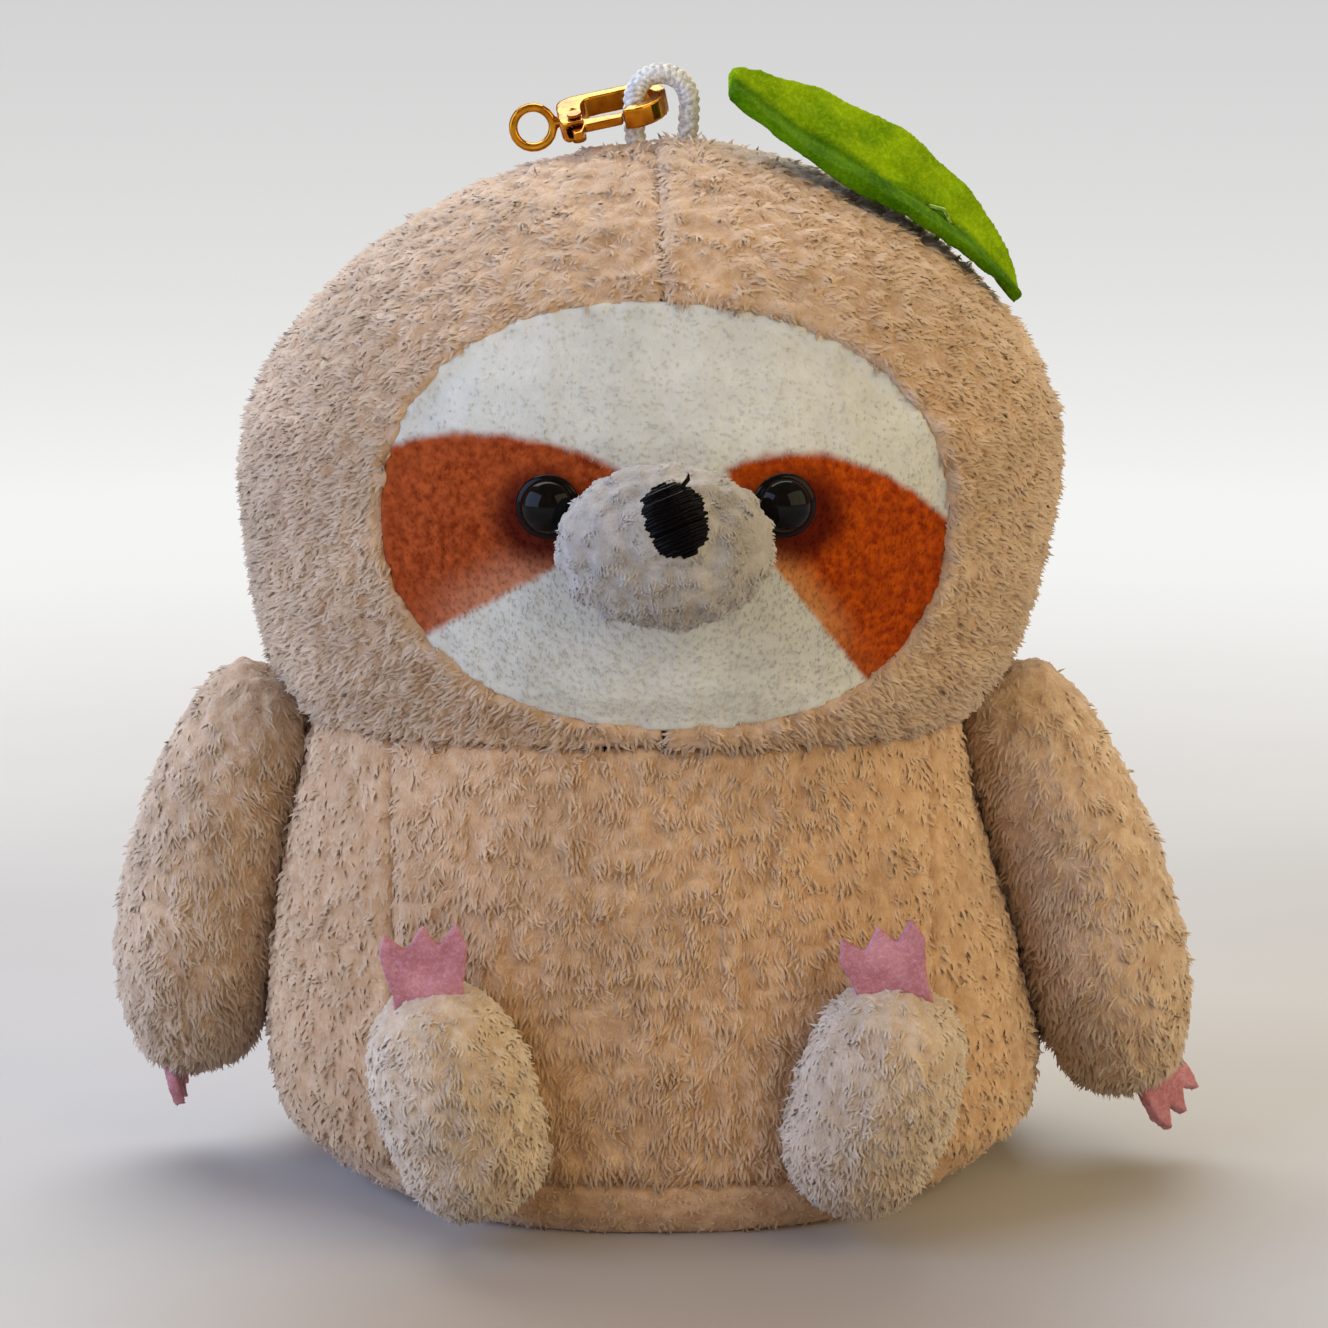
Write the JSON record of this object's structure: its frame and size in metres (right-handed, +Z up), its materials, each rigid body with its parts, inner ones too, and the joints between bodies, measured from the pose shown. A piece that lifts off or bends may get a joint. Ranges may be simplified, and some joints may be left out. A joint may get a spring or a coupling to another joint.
{
  "type": "plush sloth keychain",
  "caption": "Small stuffed sloth of short plush that sits on a flat base, with felt claws and leaf, hinged arms and legs, and a cord loop with a swivel lobster clasp.",
  "frame": {"origin": "middle of the flat base, on the surface that the toy sits on", "axes": "+Z up through the head, -Y out of the face, +X towards the side that is on the viewer's right"},
  "size_m": [0.1001, 0.0713, 0.1008],
  "materials": {
    "beige_plush": "short-pile plush",
    "cream_plush": "short-pile plush",
    "white_plush": "very short plush with printed red-brown eye patches",
    "grey_plush": "very short plush",
    "wadding": "loose polyester filling",
    "calico": "plain woven cotton",
    "pink_felt": "needled felt",
    "green_felt": "needled felt",
    "black_thread": "satin embroidery thread",
    "green_thread": "sewing thread",
    "white_cord": "braided polyester",
    "black_plastic": "polished",
    "clear_plastic": "moulded",
    "gold": "polished and plated",
    "steel": "spring strip"
  },
  "bodies": {
    "toy": {"hood_left": "beige_plush", "hood_right": "beige_plush", "face_panel": "white_plush", "muzzle_cover": "grey_plush", "muzzle_filling": "wadding", "head_filling": "wadding", "eye_left": "black_plastic", "eye_right": "black_plastic", "eye_washer_left": "clear_plastic", "eye_washer_right": "clear_plastic", "nose_stitching": "black_thread", "body_front_panel": "beige_plush", "body_back_panel": "beige_plush", "base_panel": "beige_plush", "pellet_bag": "calico", "body_filling": "wadding", "leaf": "green_felt", "leaf_thread": "green_thread", "cord_loop": "white_cord"},
    "arm_left": {"arm_left_cover": "beige_plush", "arm_left_filling": "wadding", "hand_claws_left": "pink_felt"},
    "arm_right": {"arm_right_cover": "beige_plush", "arm_right_filling": "wadding", "hand_claws_right": "pink_felt"},
    "leg_left": {"leg_left_cover": "cream_plush", "leg_left_filling": "wadding", "foot_claws_left": "pink_felt"},
    "leg_right": {"leg_right_cover": "cream_plush", "leg_right_filling": "wadding", "foot_claws_right": "pink_felt"},
    "clasp": {"clasp_body": "gold", "gate_pin": "gold", "gate_spring": "steel"},
    "gate": {"clasp_gate": "gold"},
    "swivel": {"swivel_eye": "gold"}
  },
  "joints": [
    {"name": "arm_left_lift", "type": "hinge", "parent": "toy", "child": "arm_left", "pos_m": [-0.03291, 0, 0.046], "axis": [0, 1, 0], "range_deg": [0, 45]},
    {"name": "arm_right_lift", "type": "hinge", "parent": "toy", "child": "arm_right", "pos_m": [0.02971, 0, 0.046], "axis": [0, -1, 0], "range_deg": [0, 45]},
    {"name": "leg_left_fold", "type": "hinge", "parent": "toy", "child": "leg_left", "pos_m": [-0.0148, -0.029, 0.0052], "axis": [1, 0, 0], "range_deg": [0, 25], "stiffness_Nm_per_rad": 0.002},
    {"name": "leg_right_fold", "type": "hinge", "parent": "toy", "child": "leg_right", "pos_m": [0.0148, -0.029, 0.0052], "axis": [1, 0, 0], "range_deg": [0, 25], "stiffness_Nm_per_rad": 0.002},
    {"name": "clasp_swing", "type": "hinge", "parent": "toy", "child": "clasp", "pos_m": [-0.0021, 0, 0.0969], "axis": [0, 0, 1], "range_deg": [-20, 45]},
    {"name": "gate_open", "type": "hinge", "parent": "clasp", "child": "gate", "pos_m": [-0.00724, -0.00188, 0.09511], "axis": [-0.1954, -0.342, 0.9192], "range_deg": [0, 18], "stiffness_Nm_per_rad": 0.0003, "springref_deg": -20.05},
    {"name": "swivel_spin", "type": "hinge", "parent": "clasp", "child": "swivel", "pos_m": [-0.0021, 0, 0.0969], "axis": [0.9781, 0, 0.2079], "continuous": true}
  ]
}
